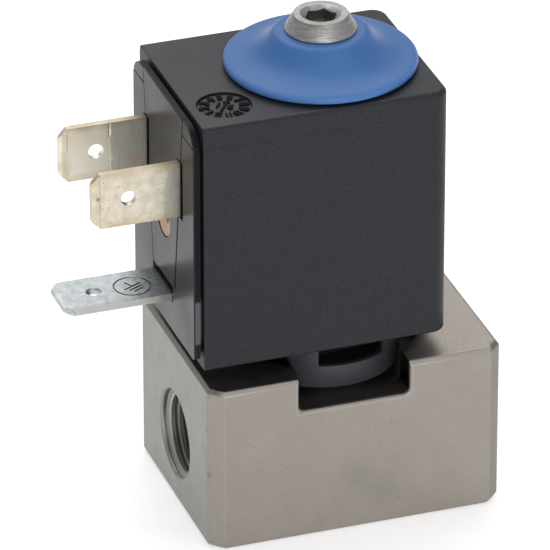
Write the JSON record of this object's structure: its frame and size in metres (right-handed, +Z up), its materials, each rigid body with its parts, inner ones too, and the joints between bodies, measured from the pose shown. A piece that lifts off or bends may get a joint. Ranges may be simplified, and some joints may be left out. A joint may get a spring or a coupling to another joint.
{
  "type": "solenoid valve",
  "caption": "Small direct-acting solenoid valve: metal port block, sprung plunger in a guide tube, and a moulded coil with flat tabs held by a flared cap and a socket screw.",
  "frame": {"origin": "on the valve's axis at the underside of the block", "axes": "+Z up along the guide tube, -X towards the inlet port and the electrical tabs, -Y towards the notched front"},
  "size_m": [0.046, 0.0248, 0.0558],
  "materials": {
    "body_metal": "satin, milled faces",
    "tube_steel": "turned",
    "seal_rubber": "matte",
    "ring_plastic": "moulded, satin",
    "core_steel": "ground",
    "copper": "enamelled copper",
    "spring_steel": "drawn wire",
    "coil_plastic": "moulded, fine grain",
    "pad_plastic": "moulded, satin",
    "spool_plastic": "moulded",
    "yoke_steel": "zinc plated",
    "line_tab": "tinned brass, lightly tarnished",
    "earth_tab": "zinc plated",
    "cap_plastic": "satin blue",
    "screw_steel": "turned stainless"
  },
  "bodies": {
    "valve": {"valve_body": "body_metal", "guide_tube": "tube_steel", "tube_o_ring": "seal_rubber", "retaining_ring": "ring_plastic", "fixed_core": "core_steel", "shading_ring": "copper", "return_spring": "spring_steel", "retaining_cap": "cap_plastic", "cap_screw": "screw_steel"},
    "plunger": {"plunger": "core_steel", "plunger_seal": "seal_rubber"},
    "coil": {"coil_housing": "coil_plastic", "terminal_panel": "pad_plastic", "coil_bobbin": "spool_plastic", "coil_winding": "copper", "yoke_bracket": "yoke_steel", "winding_leads": "copper", "line_terminal_front": "line_tab", "line_terminal_back": "line_tab", "earth_terminal": "earth_tab"}
  },
  "joints": [
    {"name": "plunger_lift", "type": "slide", "parent": "valve", "child": "plunger", "axis": [0, 0, 1], "range_m": [0, 0.0014], "stiffness_N_per_m": 250, "springref_m": -0.006, "deforming": ["return_spring"]},
    {"name": "coil_swivel", "type": "hinge", "parent": "valve", "child": "coil", "pos_m": [0, 0, 0.03], "axis": [0, 0, 1], "continuous": true}
  ]
}
